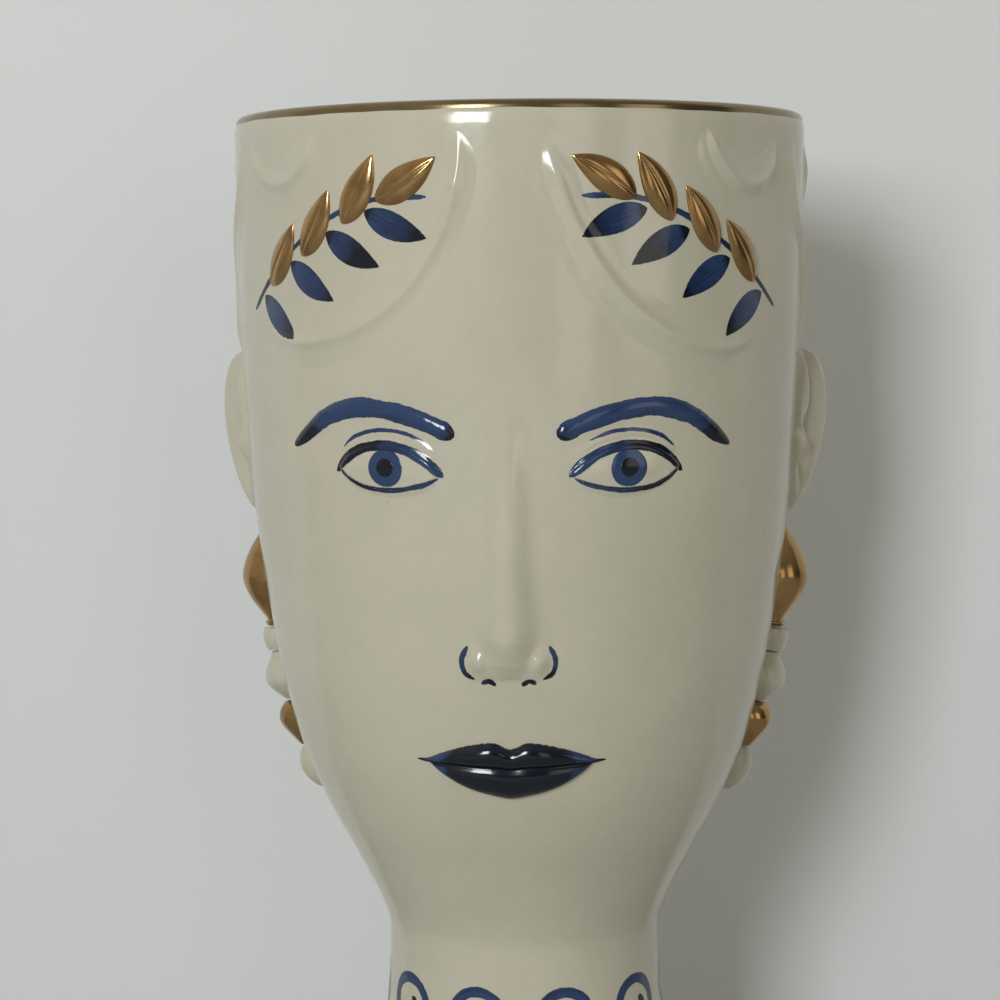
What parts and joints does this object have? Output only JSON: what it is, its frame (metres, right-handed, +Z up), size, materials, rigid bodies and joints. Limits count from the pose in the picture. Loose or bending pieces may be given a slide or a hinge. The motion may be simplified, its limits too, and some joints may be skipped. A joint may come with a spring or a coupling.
{
  "type": "face vase",
  "caption": "Cream ceramic vase shaped as a calm face on a flared foot, with an open round mouth, cobalt brushwork, gold leaves and beaded earrings",
  "frame": {"origin": "centre of the foot, on the surface that the vase stands on", "axes": "+Z up out of the mouth, the face looks along -Y, +X is the viewer's right"},
  "size_m": [0.1528, 0.1412, 0.29],
  "materials": {
    "cream_glaze": "gloss",
    "cobalt_glaze": "gloss",
    "gold_lustre": "polished",
    "bare_clay": "matte"
  },
  "bodies": {
    "root": {"head_cup": "cream_glaze", "neck_pedestal": "cream_glaze", "rim_band": "gold_lustre", "foot_ring": "bare_clay", "ear_left": "cream_glaze", "earring_gold_drop_left": "gold_lustre", "earring_collar_left": "cream_glaze", "earring_pearl_left": "cream_glaze", "earring_gold_bead_left": "gold_lustre", "earring_tail_bead_left": "cream_glaze", "eye_left": "cream_glaze", "brow_left": "cobalt_glaze", "ear_right": "cream_glaze", "earring_gold_drop_right": "gold_lustre", "earring_collar_right": "cream_glaze", "earring_pearl_right": "cream_glaze", "earring_gold_bead_right": "gold_lustre", "earring_tail_bead_right": "cream_glaze", "eye_right": "cream_glaze", "brow_right": "cobalt_glaze", "nose": "cream_glaze", "upper_lip": "cobalt_glaze", "lower_lip": "cobalt_glaze", "middle_back_lock": "cream_glaze", "parting_lock_left": "cream_glaze", "crown_lock_left": "cream_glaze", "temple_lock_left": "cream_glaze", "side_lock_left": "cream_glaze", "nape_lock_left": "cream_glaze", "back_lock_left": "cream_glaze", "inner_back_lock_left": "cream_glaze", "parting_lock_right": "cream_glaze", "crown_lock_right": "cream_glaze", "temple_lock_right": "cream_glaze", "side_lock_right": "cream_glaze", "nape_lock_right": "cream_glaze", "back_lock_right": "cream_glaze", "inner_back_lock_right": "cream_glaze", "gold_leaf_1_left": "gold_lustre", "gold_leaf_2_left": "gold_lustre", "gold_leaf_3_left": "gold_lustre", "gold_leaf_4_left": "gold_lustre", "gold_leaf_1_right": "gold_lustre", "gold_leaf_2_right": "gold_lustre", "gold_leaf_3_right": "gold_lustre", "gold_leaf_4_right": "gold_lustre"}
  },
  "joints": []
}
